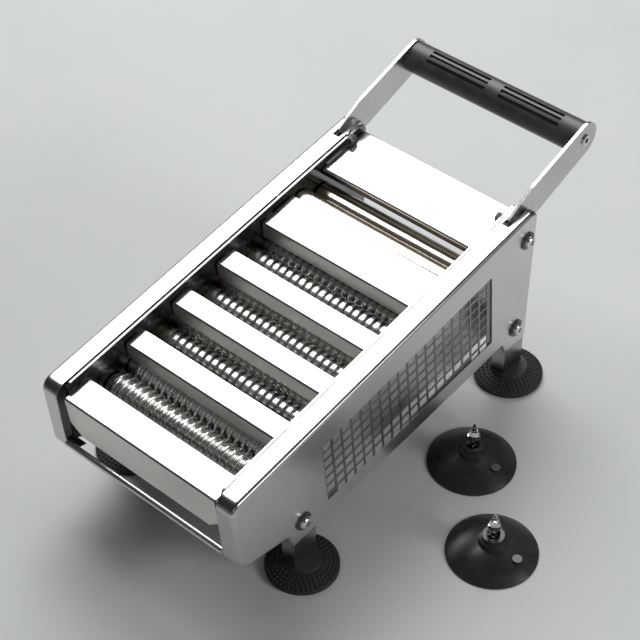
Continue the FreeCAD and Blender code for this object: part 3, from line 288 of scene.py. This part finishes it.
# Looks by material slot, which a node's own look overrules
SLOT_LOOKS = {
    "mirror_steel": "deck",
    "roller_steel": "roller",
    "bush_brass": "brass",
    "gear_steel": "gear",
    "foot_rubber": "foot",
    "grip_plastic": "grip",
    "cup_rubber": "cup",
    "plug_clear": "plug",
}
OTHER_SLOTS_LOOK = "side"
NODE_LOOKS = {
    "left_inner_plate": "plate",
    # Painted light on the right inner plate
    "right_inner_plate": "painted_lit_backing",
    "right_grille": "grille",
    # Painted shade: these inner parts take the near black steel so the gaps read as shadow
    "stripper_combs": "dark",
    "cross_bars": "dark",
    "lower_tie_rods": "dark",
    "front_left_leg": "leg",
    "front_right_leg": "leg",
    "rear_left_leg": "leg",
    "rear_right_leg": "leg",
    "smooth_roller_front": "warm",
    "smooth_roller_rear": "warm",
    "left_handle_arm": "arm",
    "right_handle_arm": "arm",
    "side_bolts": "bolt",
    "side_washers": "dark",
    "lock_nuts": "bolt",
    "stop_bolts": "bolt",
    "grip_rod": "bolt",
    "front_guard_rod": "roller",
}


def paint_nodes():
    slots = {part["node"]: part["material_slot"] for part in frame["record"]["subparts"]}
    for name, obj in frame["nodes"].items():
        look = NODE_LOOKS.get(name) or SLOT_LOOKS.get(slots[name], OTHER_SLOTS_LOOK)
        obj.data.materials.clear()
        obj.data.materials.append(materials[look])


# Moulded nubs on the rubber feet
def foot_height(radius):
    share = (FOOT_RIM[0] - radius) / (FOOT_RIM[0] - FOOT_SHOULDER[0])
    return FOOT_RIM[1] + share * (FOOT_SHOULDER[1] - FOOT_RIM[1])


def foot_nubs(node):
    low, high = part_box(node)
    centre = (low + high) / 2
    mesh = bmesh.new()
    for ring, radius in enumerate(NUB_RINGS):
        count = round(2 * math.pi * radius / NUB_SPACING)
        for index in range(count):
            angle = 2 * math.pi * (index + 0.5 * (ring % 2)) / count
            across = radius * math.cos(angle)
            along = radius * math.sin(angle)
            spot = Vector((centre.x + across, centre.y + along, foot_height(radius)))
            bmesh.ops.create_icosphere(mesh, subdivisions=1, radius=NUB_RADIUS,
                                       matrix=Matrix.Translation(spot))
    data = bpy.data.meshes.new(f"{node}_nubs")
    mesh.to_mesh(data)
    mesh.free()
    for face in data.polygons:
        face.use_smooth = True
    data.materials.append(materials["foot"])
    obj = bpy.data.objects.new(f"{node}_nubs", data)
    bpy.context.scene.collection.objects.link(obj)
    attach(obj, "frame")


# Floor, lights and camera
def add_floor():
    bpy.ops.mesh.primitive_plane_add(size=FLOOR_SIZE, location=(0, 0, 0))
    floor = bpy.context.object
    floor.name = "floor"
    floor.data.materials.append(floor_material("floor_grey"))


def add_light(name, direction, distance, width, height, power, colour):
    data = bpy.data.lights.new(name, "AREA")
    data.shape = "RECTANGLE"
    data.size = width
    data.size_y = height
    data.energy = power
    data.color = colour
    light = bpy.data.objects.new(name, data)
    towards = Vector(direction).normalized()
    light.location = LIGHT_AIM + towards * distance
    light.rotation_euler = towards.to_track_quat("Z", "Y").to_euler()
    bpy.context.scene.collection.objects.link(light)


def set_world():
    world = bpy.data.worlds.new("studio")
    world.use_nodes = True
    background = world.node_tree.nodes["Background"]
    background.inputs["Color"].default_value = WORLD_COLOUR
    background.inputs["Strength"].default_value = WORLD_STRENGTH
    bpy.context.scene.world = world


def add_camera():
    data = bpy.data.cameras.new("photo_camera")
    data.lens = CAMERA_LENS
    data.sensor_width = SENSOR
    camera = bpy.data.objects.new("photo_camera", data)
    camera.location = CAMERA_PLACE
    tilt = Euler((math.radians(90 - CAMERA_PITCH), 0, math.radians(CAMERA_AZIMUTH)))
    roll = Matrix.Rotation(math.radians(CAMERA_ROLL), 3, "Z")
    camera.rotation_euler = (tilt.to_matrix() @ roll).to_euler()
    bpy.context.scene.collection.objects.link(camera)
    bpy.context.scene.camera = camera


paint_nodes()
for corner in CORNERS:
    foot_nubs(f"{corner}_foot")
add_floor()
for settings in LIGHTS:
    add_light(*settings)
set_world()
add_camera()
bpy.context.scene.view_settings.view_transform = "Standard"
